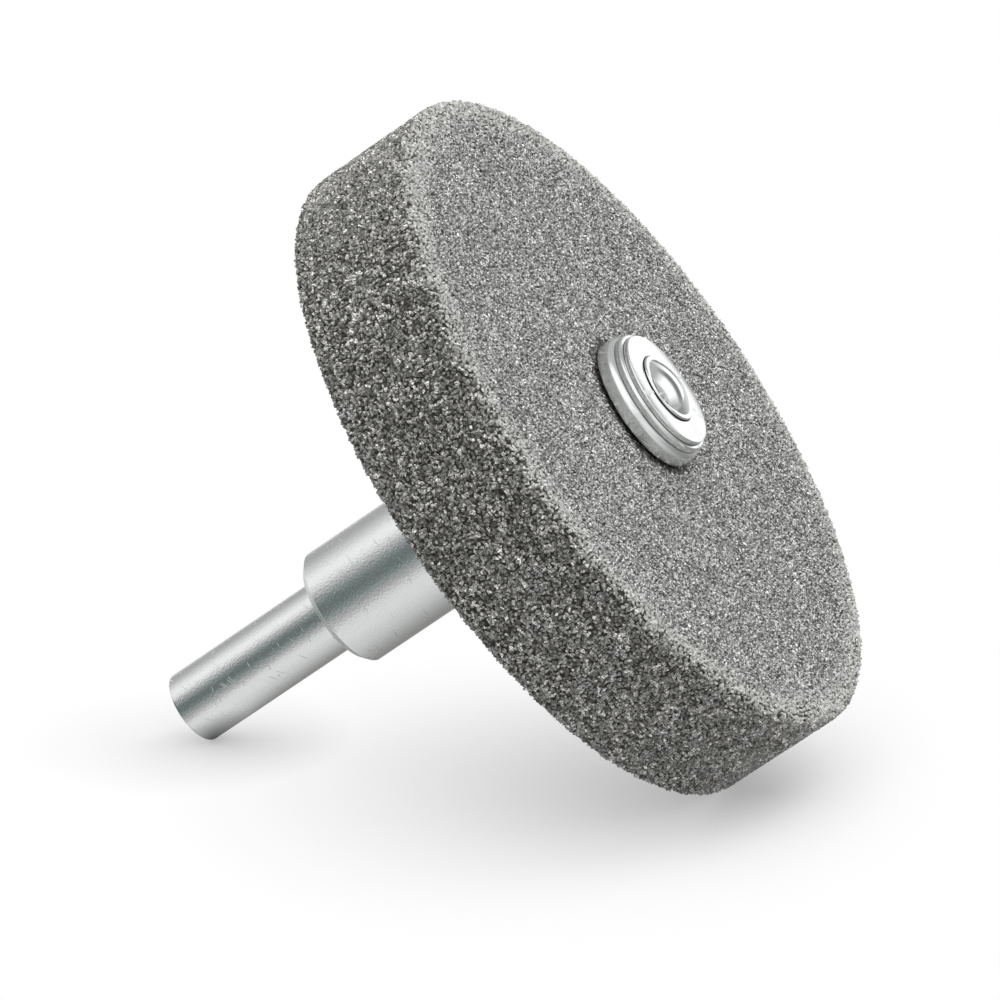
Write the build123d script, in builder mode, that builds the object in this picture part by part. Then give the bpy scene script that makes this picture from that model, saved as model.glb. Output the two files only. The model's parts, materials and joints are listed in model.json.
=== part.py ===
"""Mounted grinding stone: an abrasive wheel riveted to a turned steel spindle."""
import os
from math import asin, atan2, cos, degrees, hypot, radians, sin

from build123d import *

# Stone, in mm
stone_diameter = 75.0
stone_thickness = 15.5
stone_edge_radius = 1.0

# Spindle: drive shank, thick collar behind the stone, thin stud through it, riveted head
shank_diameter = 8.0
shank_length = 20.0
shank_tip_radius = 0.35
collar_diameter = 13.2
collar_length = 24.6
collar_chamfer = 0.5
collar_seat_chamfer = 0.2
stud_diameter = 6.0
head_flange_diameter = 7.7
head_flange_thickness = 0.3
head_flange_bevel = 0.1
head_dome_diameter = 6.6
head_dome_height = 1.0

# Lower washer, next to the stone
lower_washer_diameter = 14.8
lower_washer_thickness = 2.0
lower_washer_rounding = 0.4
lower_washer_foot_bevel = 0.15

# Upper washer: a stepped disc under the riveted head
upper_washer_diameter = 13.9
upper_washer_base_thickness = 0.75
upper_washer_base_rounding = 0.25
upper_washer_foot_bevel = 0.12
upper_washer_face_diameter = 12.9
upper_washer_face_step = 0.55
upper_washer_face_rounding = 0.12

# Room between the stud and what it passes through, on the radius
stud_clearance = 0.3

stone_radius = stone_diameter / 2
shank_radius = shank_diameter / 2
collar_radius = collar_diameter / 2
stud_radius = stud_diameter / 2
bore_radius = stud_radius + stud_clearance

# Places along the tool's axis, measured forward from the stone's front face
stone_back = -stone_thickness
collar_back = stone_back - collar_length
shank_tip = collar_back - shank_length
upper_washer_foot = lower_washer_thickness
upper_washer_shoulder = upper_washer_foot + upper_washer_base_thickness
upper_washer_front = upper_washer_shoulder + upper_washer_face_step
dome_foot = upper_washer_front + head_flange_thickness

# Resting pose: the tool lies on the stone's back edge and the shank's tip. The rounded
# edges that touch the floor are circles, and both have to be their own radius above it.
edge_along = stone_back + stone_edge_radius
edge_out = stone_radius - stone_edge_radius
tip_along = shank_tip + shank_tip_radius
tip_out = shank_radius - shank_tip_radius
rest_span = hypot(edge_along - tip_along, edge_out - tip_out)
rest_line = atan2(edge_out - tip_out, edge_along - tip_along)
rest_tilt = degrees(rest_line + asin((stone_edge_radius - shank_tip_radius) / rest_span))
tilt_cos = cos(radians(rest_tilt))
tilt_sin = sin(radians(rest_tilt))

# The stone's front face centre, so that the floor is z = 0 and the box is centred in x
face_height = stone_edge_radius + edge_out * tilt_cos - edge_along * tilt_sin
front_reach = stone_edge_radius + edge_out * tilt_sin - stone_edge_radius * tilt_cos
tip_reach = tip_along * tilt_cos - tip_out * tilt_sin - shank_tip_radius
face_centre = Vector(-(front_reach + tip_reach) / 2, 0, face_height)

# Local x runs outward from the axis and local y runs forward along it
section_plane = Plane(
    origin=face_centre,
    x_dir=(tilt_sin, 0, -tilt_cos),
    z_dir=(0, -1, 0),
)
tool_axis = Axis(face_centre, (tilt_cos, 0, tilt_sin))

# Abrasive wheel with a plain bore for the stud
with BuildPart() as grinding_stone:
    with BuildSketch(section_plane) as stone_section:
        with Locations((bore_radius, stone_back)):
            Rectangle(
                stone_radius - bore_radius,
                stone_thickness,
                align=(Align.MIN, Align.MIN),
            )
        fillet(stone_section.vertices().sort_by(Axis.X)[-2:], stone_edge_radius)
    revolve(axis=tool_axis)

# Spindle, turned in one piece and riveted over at the front
with BuildPart() as spindle:
    with BuildSketch(section_plane) as shank_section:
        with Locations((0, shank_tip)):
            Rectangle(shank_radius, shank_length, align=(Align.MIN, Align.MIN))
        fillet(
            shank_section.vertices().sort_by(Axis.Y)[:2].sort_by(Axis.X)[-1],
            shank_tip_radius,
        )
    with BuildSketch(section_plane) as collar_section:
        with Locations((0, collar_back)):
            Rectangle(collar_radius, collar_length, align=(Align.MIN, Align.MIN))
        collar_corners = collar_section.vertices().sort_by(Axis.X)[-2:].sort_by(Axis.Y)
        chamfer(collar_corners[0], collar_chamfer)
        chamfer(collar_corners[1], collar_seat_chamfer)
    with BuildSketch(section_plane) as stud_section:
        with Locations((0, stone_back)):
            Rectangle(
                stud_radius,
                upper_washer_front - stone_back,
                align=(Align.MIN, Align.MIN),
            )
    with BuildSketch(section_plane) as flange_section:
        with Locations((0, upper_washer_front)):
            Rectangle(
                head_flange_diameter / 2,
                head_flange_thickness,
                align=(Align.MIN, Align.MIN),
            )
        chamfer(flange_section.vertices().sort_by(Axis.X)[-2:], head_flange_bevel)
    with BuildSketch(section_plane) as dome_section:
        with BuildLine():
            dome_arc = SagittaArc(
                (-head_dome_diameter / 2, dome_foot),
                (head_dome_diameter / 2, dome_foot),
                head_dome_height,
            )
            Line(dome_arc @ 1, dome_arc @ 0)
        make_face()
        with Locations((0, dome_foot)):
            Rectangle(
                head_dome_diameter,
                head_dome_diameter,
                align=(Align.MAX, Align.CENTER),
                mode=Mode.SUBTRACT,
            )
    revolve(axis=tool_axis)

# Lower washer: plain disc with a rounded outer edge
with BuildPart() as lower_washer:
    with BuildSketch(section_plane) as lower_section:
        with Locations((bore_radius, 0)):
            Rectangle(
                lower_washer_diameter / 2 - bore_radius,
                lower_washer_thickness,
                align=(Align.MIN, Align.MIN),
            )
        lower_corners = lower_section.vertices().sort_by(Axis.X)[-2:].sort_by(Axis.Y)
        chamfer(lower_corners[0], lower_washer_foot_bevel)
        fillet(lower_corners[1], lower_washer_rounding)
    revolve(axis=tool_axis)

# Upper washer: a wider base and a raised flat face that the head is riveted down on
with BuildPart() as upper_washer:
    with BuildSketch(section_plane) as base_section:
        with Locations((bore_radius, upper_washer_foot)):
            Rectangle(
                upper_washer_diameter / 2 - bore_radius,
                upper_washer_base_thickness,
                align=(Align.MIN, Align.MIN),
            )
        base_corners = base_section.vertices().sort_by(Axis.X)[-2:].sort_by(Axis.Y)
        chamfer(base_corners[0], upper_washer_foot_bevel)
        fillet(base_corners[1], upper_washer_base_rounding)
    with BuildSketch(section_plane) as face_section:
        with Locations((bore_radius, upper_washer_shoulder)):
            Rectangle(
                upper_washer_face_diameter / 2 - bore_radius,
                upper_washer_face_step,
                align=(Align.MIN, Align.MIN),
            )
        fillet(
            face_section.vertices().sort_by(Axis.X)[-2:].sort_by(Axis.Y)[-1],
            upper_washer_face_rounding,
        )
    revolve(axis=tool_axis)

os.makedirs("parts", exist_ok=True)

grinding_stone.part.label = "grinding_stone"
export_step(grinding_stone.part, "parts/grinding_stone.step")

spindle.part.label = "spindle"
export_step(spindle.part, "parts/spindle.step")

lower_washer.part.label = "lower_washer"
export_step(lower_washer.part, "parts/lower_washer.step")

upper_washer.part.label = "upper_washer"
export_step(upper_washer.part, "parts/upper_washer.step")
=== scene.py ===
"""Mounted grinding stone: a grey vitrified wheel riveted to a bright turned spindle."""

import json
import math

import bpy
from bpy.props import FloatProperty, FloatVectorProperty, IntProperty, PointerProperty
from bpy.types import Operator, Panel, PropertyGroup
from mathutils import Matrix, Vector

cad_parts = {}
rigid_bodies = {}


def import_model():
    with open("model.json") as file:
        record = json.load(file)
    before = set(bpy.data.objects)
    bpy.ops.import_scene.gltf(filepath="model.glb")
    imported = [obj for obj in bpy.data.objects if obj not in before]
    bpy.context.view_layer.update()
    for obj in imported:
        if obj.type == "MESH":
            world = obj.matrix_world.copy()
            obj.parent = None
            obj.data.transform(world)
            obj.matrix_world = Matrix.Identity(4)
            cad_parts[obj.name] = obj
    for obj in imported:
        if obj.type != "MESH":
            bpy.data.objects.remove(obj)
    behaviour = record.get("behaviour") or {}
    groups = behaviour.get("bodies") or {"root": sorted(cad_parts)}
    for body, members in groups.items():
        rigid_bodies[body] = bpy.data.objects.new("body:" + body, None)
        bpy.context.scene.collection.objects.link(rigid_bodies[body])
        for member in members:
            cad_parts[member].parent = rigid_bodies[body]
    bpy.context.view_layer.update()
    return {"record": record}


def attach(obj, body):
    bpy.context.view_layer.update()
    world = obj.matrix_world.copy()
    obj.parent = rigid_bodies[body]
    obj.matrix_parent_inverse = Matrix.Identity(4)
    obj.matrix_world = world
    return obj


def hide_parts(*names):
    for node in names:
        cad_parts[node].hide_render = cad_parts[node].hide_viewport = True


bl_info = {
    "name": "Mounted grinding stone",
    "version": (1, 0, 0),
    "blender": (4, 5, 0),
    "location": "3D View > Sidebar > Grinding stone",
    "description": "Builds a riveted grinding stone on a turned drill shank",
    "category": "Add Mesh",
}

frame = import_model()

MM = 0.001
shank_mount = next(m for m in frame["record"]["mounts"] if m["name"] == "shank")
tool_forward = -Vector(shank_mount["axis"]).normalized()
shank_middle = Vector(shank_mount["pos_m"])
shank_radius = shank_mount["dims"]["r_mm"] * MM
# The tool leans in the XZ plane, so one turn about Y stands its axis up as local Z.
tool_lean = math.atan2(tool_forward.x, tool_forward.z)


def linear(hex_code):
    """Turn an sRGB hex colour into the linear values that shaders use."""
    channels = [int(hex_code[i : i + 2], 16) / 255 for i in (1, 3, 5)]
    return tuple(
        c / 12.92 if c <= 0.04045 else ((c + 0.055) / 1.055) ** 2.4 for c in channels
    )


class StoneSettings(PropertyGroup):
    """Sizes and colours of the abrasive wheel."""

    diameter: FloatProperty(
        name="Diameter",
        description="Outer diameter of the wheel",
        default=75.0 * MM,
        unit="LENGTH",
    )
    thickness: FloatProperty(
        name="Thickness",
        description="Thickness of the wheel",
        default=15.5 * MM,
        unit="LENGTH",
    )
    edge_radius: FloatProperty(
        name="Edge radius",
        description="Rounding of the two outer edges",
        default=1.0 * MM,
        unit="LENGTH",
    )
    bore_radius: FloatProperty(
        name="Bore radius",
        description="Radius of the hole for the stud",
        default=3.3 * MM,
        unit="LENGTH",
    )
    grain: FloatProperty(
        name="Grain",
        description="Width of a typical abrasive grain",
        default=0.4 * MM,
        unit="LENGTH",
    )
    seed: IntProperty(
        name="Seed", description="Changes where the grains fall", default=7
    )
    bond_colour: FloatVectorProperty(
        name="Bond",
        description="Colour of the fired bond deep in the pits",
        subtype="COLOR",
        default=linear("#37352f"),
    )
    dark_grain_colour: FloatVectorProperty(
        name="Dark grains",
        description="Colour of the darkest grains",
        subtype="COLOR",
        default=linear("#58564c"),
    )
    grain_colour: FloatVectorProperty(
        name="Grains",
        description="Colour of most grains",
        subtype="COLOR",
        default=linear("#aeaeac"),
    )
    light_grain_colour: FloatVectorProperty(
        name="Light grains",
        description="Colour of the palest grains",
        subtype="COLOR",
        default=linear("#f1f0ee"),
    )
    # Painted highlight: the pale colour laid on the band round the front edge.
    edge_highlight_colour: FloatVectorProperty(
        name="Highlit grains",
        description="Colour of the worn band round the front edge",
        subtype="COLOR",
        default=linear("#dcdcd8"),
    )


class SteelSettings(PropertyGroup):
    """Sizes and colours of the turned steel pieces."""

    shank_length: FloatProperty(
        name="Shank length",
        description="Length of the thin end that goes in the chuck",
        default=20.0 * MM,
        unit="LENGTH",
    )
    collar_radius: FloatProperty(
        name="Collar radius",
        description="Radius of the thick part behind the wheel",
        default=6.6 * MM,
        unit="LENGTH",
    )
    collar_length: FloatProperty(
        name="Collar length",
        description="Length of the thick part behind the wheel",
        default=24.6 * MM,
        unit="LENGTH",
    )
    collar_chamfer: FloatProperty(
        name="Collar chamfer",
        description="Width of the freshly cut chamfer behind the collar",
        default=0.7 * MM,
        unit="LENGTH",
    )
    stud_radius: FloatProperty(
        name="Stud radius",
        description="Radius of the stud through the wheel and the washers",
        default=3.0 * MM,
        unit="LENGTH",
    )
    head_radius: FloatProperty(
        name="Head radius",
        description="Radius of the thin flange round the riveted head",
        default=3.85 * MM,
        unit="LENGTH",
    )
    dome_radius: FloatProperty(
        name="Dome radius",
        description="Radius of the foot of the head's dome",
        default=3.3 * MM,
        unit="LENGTH",
    )
    dome_height: FloatProperty(
        name="Dome height",
        description="Height of the head's dome",
        default=1.0 * MM,
        unit="LENGTH",
    )
    lower_washer_radius: FloatProperty(
        name="Lower washer radius",
        description="Radius of the washer next to the wheel",
        default=7.4 * MM,
        unit="LENGTH",
    )
    lower_washer_thickness: FloatProperty(
        name="Lower washer thickness",
        description="Thickness of the washer next to the wheel",
        default=2.0 * MM,
        unit="LENGTH",
    )
    upper_washer_radius: FloatProperty(
        name="Upper washer radius",
        description="Radius of the base of the stepped washer",
        default=6.95 * MM,
        unit="LENGTH",
    )
    upper_washer_base: FloatProperty(
        name="Upper washer base",
        description="Thickness of the base of the stepped washer",
        default=0.75 * MM,
        unit="LENGTH",
    )
    upper_washer_face_radius: FloatProperty(
        name="Upper washer face radius",
        description="Radius of the raised flat face under the head",
        default=6.45 * MM,
        unit="LENGTH",
    )
    upper_washer_step: FloatProperty(
        name="Upper washer step",
        description="Height of the raised flat face over its base",
        default=0.55 * MM,
        unit="LENGTH",
    )
    zinc_colour: FloatVectorProperty(
        name="Zinc",
        description="Colour of the bright zinc plating",
        subtype="COLOR",
        default=linear("#eceeed"),
    )
    torn_zinc_colour: FloatVectorProperty(
        name="Torn zinc",
        description="Colour of the plating in scratches",
        subtype="COLOR",
        default=linear("#fafbfa"),
    )
    # Painted shade: the dark colour laid into the corners of the stack, where shade falls.
    corner_shade_colour: FloatVectorProperty(
        name="Shading",
        description="Colour of the dark grime in the corners of the stack",
        subtype="COLOR",
        default=linear("#3c3d3b"),
    )


class StudioSettings(PropertyGroup):
    """Light and colours of the studio."""

    floor_colour: FloatProperty(
        name="Floor", description="How much light the pale floor gives back", default=0.83
    )
    bounce: FloatProperty(
        name="Bounce",
        description="How much light the floor throws back up on the tool",
        default=0.3,
    )
    shadow_reach: FloatProperty(
        name="Shadow reach",
        description="Distance from the wheel's foot at which the floor is plain white",
        default=62.0 * MM,
        unit="LENGTH",
    )
    fill: FloatProperty(
        name="Fill", description="Strength of the light from all round", default=0.6
    )
    key: FloatProperty(
        name="Key",
        description="Power of the soft light overhead",
        default=4.0,
        unit="POWER",
    )


def tool_matrix():
    """Placement of a piece that is modelled on its own axis, z = 0 at the wheel's face."""
    stone = bpy.context.scene.grinding_stone
    steel = bpy.context.scene.turned_steel
    face = shank_middle + tool_forward * (
        stone.thickness + steel.collar_length + steel.shank_length / 2
    )
    return Matrix.Translation(face) @ Matrix.Rotation(tool_lean, 4, "Y")


def clear_selection():
    """Leave nothing selected, so that an operator acts only on the new piece."""
    if bpy.context.object and bpy.context.object.mode != "OBJECT":
        bpy.ops.object.mode_set(mode="OBJECT")
    bpy.ops.object.select_all(action="DESELECT")


def select_only(piece):
    """Make this piece the only one selected, and the active one."""
    clear_selection()
    piece.select_set(True)
    bpy.context.view_layer.objects.active = piece


def add_node(tree, kind, links=None, **settings):
    """Add a node, set its settings and inputs, and link what comes from other nodes.

    A node given as a value stands for its first output in use."""
    node = tree.nodes.new(kind)
    for name, value in settings.items():
        setattr(node, name, value)
    for name, value in (links or {}).items():
        socket = node.inputs[name]
        if isinstance(value, bpy.types.Node):
            value = next(output for output in value.outputs if output.enabled)
        if isinstance(value, bpy.types.NodeSocket):
            tree.links.new(value, socket)
        else:
            socket.default_value = value
    return node


def new_material(name):
    """An empty node material with its output, ready for a shader."""
    material = bpy.data.materials.new(name)
    material.use_nodes = True
    material.node_tree.nodes.clear()
    return material, material.node_tree


def set_ramp(node, stops):
    """Give a colour ramp its stops, each a place and a linear colour."""
    ramp = node.color_ramp
    while len(ramp.elements) < len(stops):
        ramp.elements.new(1.0)
    for element, (place, colour) in zip(ramp.elements, stops):
        element.position = place
        element.color = (*colour[:3], 1.0)


def tool_coordinates(tree):
    """Object coordinates turned so that Z runs along the tool and X, Y cross it."""
    place = tool_matrix()
    coordinates = add_node(tree, "ShaderNodeTexCoord")
    return add_node(
        tree,
        "ShaderNodeMapping",
        {
            "Vector": coordinates.outputs["Object"],
            "Location": place.to_translation(),
            "Rotation": place.to_euler(),
        },
        vector_type="TEXTURE",
    )


def grey(value):
    """A neutral grey of this strength."""
    return (value, value, value)


def turn_to_places(turns):
    """Place turns in degrees, from -180 to 180, along a colour ramp."""
    return [((degrees + 180) / 360, colour) for degrees, colour in turns]


def compass(tree, y, x):
    """The turn of a direction, from 0 to 1 over the full circle."""
    angle = add_node(tree, "ShaderNodeMath", {0: y, 1: x}, operation="ARCTAN2")
    return add_node(
        tree,
        "ShaderNodeMath",
        {0: angle, 1: 1 / math.tau, 2: 0.5},
        operation="MULTIPLY_ADD",
    )


def across_and_along(tree, place):
    """Split a place into its three parts, and its distance from the tool's axis."""
    axes = add_node(tree, "ShaderNodeSeparateXYZ", {"Vector": place})
    flat = add_node(
        tree, "ShaderNodeCombineXYZ", {"X": axes.outputs["X"], "Y": axes.outputs["Y"]}
    )
    radius = add_node(tree, "ShaderNodeVectorMath", {0: flat}, operation="LENGTH")
    return axes, radius


def seen_directly(tree, path):
    """Tell what the camera sees straight, or through glass, from what is mirrored."""
    return add_node(
        tree,
        "ShaderNodeMath",
        {0: path.outputs["Is Camera Ray"], 1: path.outputs["Is Transmission Ray"]},
        operation="MAXIMUM",
    )


def washer_front():
    """Height of the front of the washers over the wheel's face."""
    steel = bpy.context.scene.turned_steel
    return (
        steel.lower_washer_thickness + steel.upper_washer_base + steel.upper_washer_step
    )


def finish_piece(piece, material, angle=None):
    """Place the piece on the tool, dress it and let it ride on the frame."""
    select_only(piece)
    piece.matrix_world = tool_matrix()
    bpy.ops.object.transform_apply(location=True, rotation=True, scale=True)
    if angle is not None:
        bpy.ops.object.shade_smooth_by_angle(angle=math.radians(angle))
    piece.data.materials.clear()
    piece.data.materials.append(material)
    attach(piece, "root")
    return piece


def abrasive_grain():
    """Crushed silicon carbide and fused alumina: angular grains that glint, partly from glints
    painted into their colour.
    """
    stone = bpy.context.scene.grinding_stone
    material, tree = new_material("crushed_abrasive_grain")
    coordinates = add_node(tree, "ShaderNodeTexCoord").outputs["Object"]
    tone = add_node(tree, "ShaderNodeAttribute", attribute_name="tone")
    tint = add_node(tree, "ShaderNodeAttribute", attribute_name="tint")
    ramp = add_node(tree, "ShaderNodeValToRGB", {"Fac": tone.outputs["Fac"]})
    set_ramp(
        ramp,
        [
            (0.0, stone.dark_grain_colour),
            (0.5, stone.grain_colour),
            (0.65, stone.grain_colour),
            (1.0, stone.light_grain_colour),
        ],
    )
    # Each grain leans a little warm or cold, as mixed crushed grit does.
    cast = add_node(
        tree,
        "ShaderNodeMix",
        {
            "Factor": tint.outputs["Fac"],
            "A": (*linear("#fffdf9"), 1.0),
            "B": (*linear("#fbfdff"), 1.0),
        },
        data_type="RGBA",
    )
    colour = add_node(
        tree,
        "ShaderNodeMix",
        {"Factor": 1.0, "A": ramp.outputs["Color"], "B": cast},
        data_type="RGBA",
        blend_type="MULTIPLY",
    )
    # Crushing leaves small broken facets on each grain, each of its own tone; the brightest
    # few are painted glints. The ramp stops at one, so it holds low shades, which are
    # multiplied up after it.
    facet_width = 0.14 * MM
    facets = add_node(
        tree, "ShaderNodeTexVoronoi", {"Vector": coordinates, "Scale": 1 / facet_width}
    )
    facet_tone = add_node(
        tree, "ShaderNodeSeparateColor", {"Color": facets.outputs["Color"]}
    )
    shade = add_node(tree, "ShaderNodeValToRGB", {"Fac": facet_tone.outputs["Red"]})
    set_ramp(
        shade,
        [(0.0, grey(0.06)), (0.35, grey(0.29)), (0.7, grey(0.50)), (0.88, grey(1.0))],
    )
    facet_tones_and_glints = add_node(
        tree,
        "ShaderNodeVectorMath",
        {0: shade.outputs["Color"], "Scale": 2.3},
        operation="SCALE",
    )
    colour_with_painted_glints = add_node(
        tree,
        "ShaderNodeMix",
        {"Factor": 1.0, "A": colour, "B": facet_tones_and_glints},
        data_type="RGBA",
        blend_type="MULTIPLY",
    )
    # Painted highlight: the outermost band of the front face, by the rounded edge, is laid
    # paler, for the light that edge catches.
    band_start, band_full = 5.0 * MM, 1.2 * MM
    rim_side, face_side = -1.2 * MM, -0.4 * MM
    axes, radius = across_and_along(tree, tool_coordinates(tree))
    near_edge = add_node(
        tree,
        "ShaderNodeMapRange",
        {
            "Value": radius,
            "From Min": stone.diameter / 2 - band_start,
            "From Max": stone.diameter / 2 - band_full,
        },
        interpolation_type="SMOOTHSTEP",
    )
    on_face = add_node(
        tree,
        "ShaderNodeMapRange",
        {"Value": axes.outputs["Z"], "From Min": rim_side, "From Max": face_side},
    )
    in_band = add_node(
        tree, "ShaderNodeMath", {0: near_edge, 1: on_face}, operation="MULTIPLY"
    )
    highlit = add_node(tree, "ShaderNodeMath", {0: in_band, 1: 0.6}, operation="MULTIPLY")
    highlit_colour = add_node(
        tree,
        "ShaderNodeMix",
        {"Factor": highlit, "A": colour_with_painted_glints, "B": (*stone.edge_highlight_colour, 1.0)},
        data_type="RGBA",
    )
    bump = add_node(
        tree,
        "ShaderNodeBump",
        {"Strength": 1.0, "Distance": 0.06 * MM, "Height": facets.outputs["Distance"]},
    )
    shader = add_node(
        tree,
        "ShaderNodeBsdfPrincipled",
        {"Base Color": highlit_colour, "Roughness": 0.38, "IOR": 1.7, "Normal": bump},
    )
    add_node(tree, "ShaderNodeOutputMaterial", {"Surface": shader})
    return material


def fired_bond():
    """Vitrified bond, fired clay and glass that holds fine grit: dull, with painted shade
    darkening its pits.
    """
    stone = bpy.context.scene.grinding_stone
    material, tree = new_material("vitrified_bond")
    coordinates = add_node(tree, "ShaderNodeTexCoord").outputs["Object"]
    grit_width = 0.3 * MM
    grit = add_node(
        tree, "ShaderNodeTexVoronoi", {"Vector": coordinates, "Scale": 1 / grit_width}
    )
    grit_tone = add_node(
        tree, "ShaderNodeSeparateColor", {"Color": grit.outputs["Color"]}
    )
    ramp = add_node(tree, "ShaderNodeValToRGB", {"Fac": grit_tone.outputs["Red"]})
    set_ramp(
        ramp,
        [
            (0.0, stone.bond_colour),
            (0.6, stone.dark_grain_colour),
            (0.95, stone.grain_colour),
        ],
    )
    # Painted shade: each cell's colour darkens towards its border, in the pits between grits;
    # the same map shapes the bump.
    pit_shade_and_depth = add_node(
        tree,
        "ShaderNodeMapRange",
        {
            "Value": grit.outputs["Distance"],
            "From Min": 0.3,
            "From Max": 0.65,
            "To Min": 1.0,
            "To Max": 0.35,
        },
    )
    colour = add_node(
        tree,
        "ShaderNodeVectorMath",
        {0: ramp.outputs["Color"], "Scale": pit_shade_and_depth},
        operation="SCALE",
    )
    bump = add_node(
        tree, "ShaderNodeBump", {"Strength": 1.0, "Distance": 0.1 * MM, "Height": pit_shade_and_depth}
    )
    shader = add_node(
        tree,
        "ShaderNodeBsdfPrincipled",
        {"Base Color": colour, "Roughness": 0.7, "Normal": bump},
    )
    add_node(tree, "ShaderNodeOutputMaterial", {"Surface": shader})
    return material


def handling_scratches(tree, place, axes):
    """Show where handling has scratched the spindle, round it and on two slants.

    The scratches are long cells of a stretched pattern, of which few show."""
    angle = add_node(
        tree,
        "ShaderNodeMath",
        {0: axes.outputs["Y"], 1: axes.outputs["X"]},
        operation="ARCTAN2",
    )
    drift_width, drift = 5.0 * MM, 1.5 * MM
    drifting = add_node(
        tree,
        "ShaderNodeTexNoise",
        {"Vector": place, "Scale": 1 / drift_width, "Detail": 1.0},
    )
    wander = add_node(
        tree,
        "ShaderNodeMath",
        {0: drifting.outputs["Fac"], 1: drift, 2: axes.outputs["Z"]},
        operation="MULTIPLY_ADD",
    )
    scratched = 0.0
    for slant, length, width in (
        (0.5 * MM, 0.35, 0.19 * MM),
        (-2.4 * MM, 0.55, 0.23 * MM),
    ):
        slanted = add_node(
            tree,
            "ShaderNodeMath",
            {0: angle, 1: slant, 2: wander},
            operation="MULTIPLY_ADD",
        )
        round_tool = add_node(
            tree, "ShaderNodeMath", {0: angle, 1: length}, operation="DIVIDE"
        )
        along_tool = add_node(
            tree, "ShaderNodeMath", {0: slanted, 1: width}, operation="DIVIDE"
        )
        scratch_place = add_node(
            tree, "ShaderNodeCombineXYZ", {"X": round_tool, "Y": along_tool}
        )
        scratches = add_node(
            tree,
            "ShaderNodeTexVoronoi",
            {"Vector": scratch_place, "Scale": 1.0},
            voronoi_dimensions="2D",
        )
        scratch_tone = add_node(
            tree, "ShaderNodeSeparateColor", {"Color": scratches.outputs["Color"]}
        )
        few = add_node(
            tree,
            "ShaderNodeMapRange",
            {"Value": scratch_tone.outputs["Red"], "From Min": 0.94, "From Max": 0.98},
        )
        thin = add_node(
            tree,
            "ShaderNodeMapRange",
            {
                "Value": scratches.outputs["Distance"],
                "From Min": 0.1,
                "From Max": 0.3,
                "To Min": 1.0,
                "To Max": 0.0,
            },
        )
        scratched = add_node(
            tree,
            "ShaderNodeMath",
            {0: few, 1: thin, 2: scratched},
            operation="MULTIPLY_ADD",
        )
    return scratched


def painted_corner_shade(tree, section_place):
    """Painted shade: show where the corners under the head and between the washers are
    darkened, where shade falls.
    """
    steel = bpy.context.scene.turned_steel
    step = steel.lower_washer_thickness + steel.upper_washer_base
    shading = 0.0
    for corner_radius, height, width in (
        (steel.head_radius, washer_front(), 0.13 * MM),
        (steel.upper_washer_face_radius, step, 0.07 * MM),
        (steel.upper_washer_radius, steel.lower_washer_thickness, 0.1 * MM),
    ):
        from_corner = add_node(
            tree,
            "ShaderNodeVectorMath",
            {0: section_place, 1: (corner_radius, 0.0, height)},
            operation="DISTANCE",
        )
        in_corner_shade = add_node(
            tree,
            "ShaderNodeMapRange",
            {
                "Value": from_corner,
                "From Min": 0.6 * width,
                "From Max": width,
                "To Min": 1.0,
                "To Max": 0.0,
            },
        )
        shading = add_node(
            tree, "ShaderNodeMath", {0: shading, 1: in_corner_shade}, operation="MAXIMUM"
        )
    return shading


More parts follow.
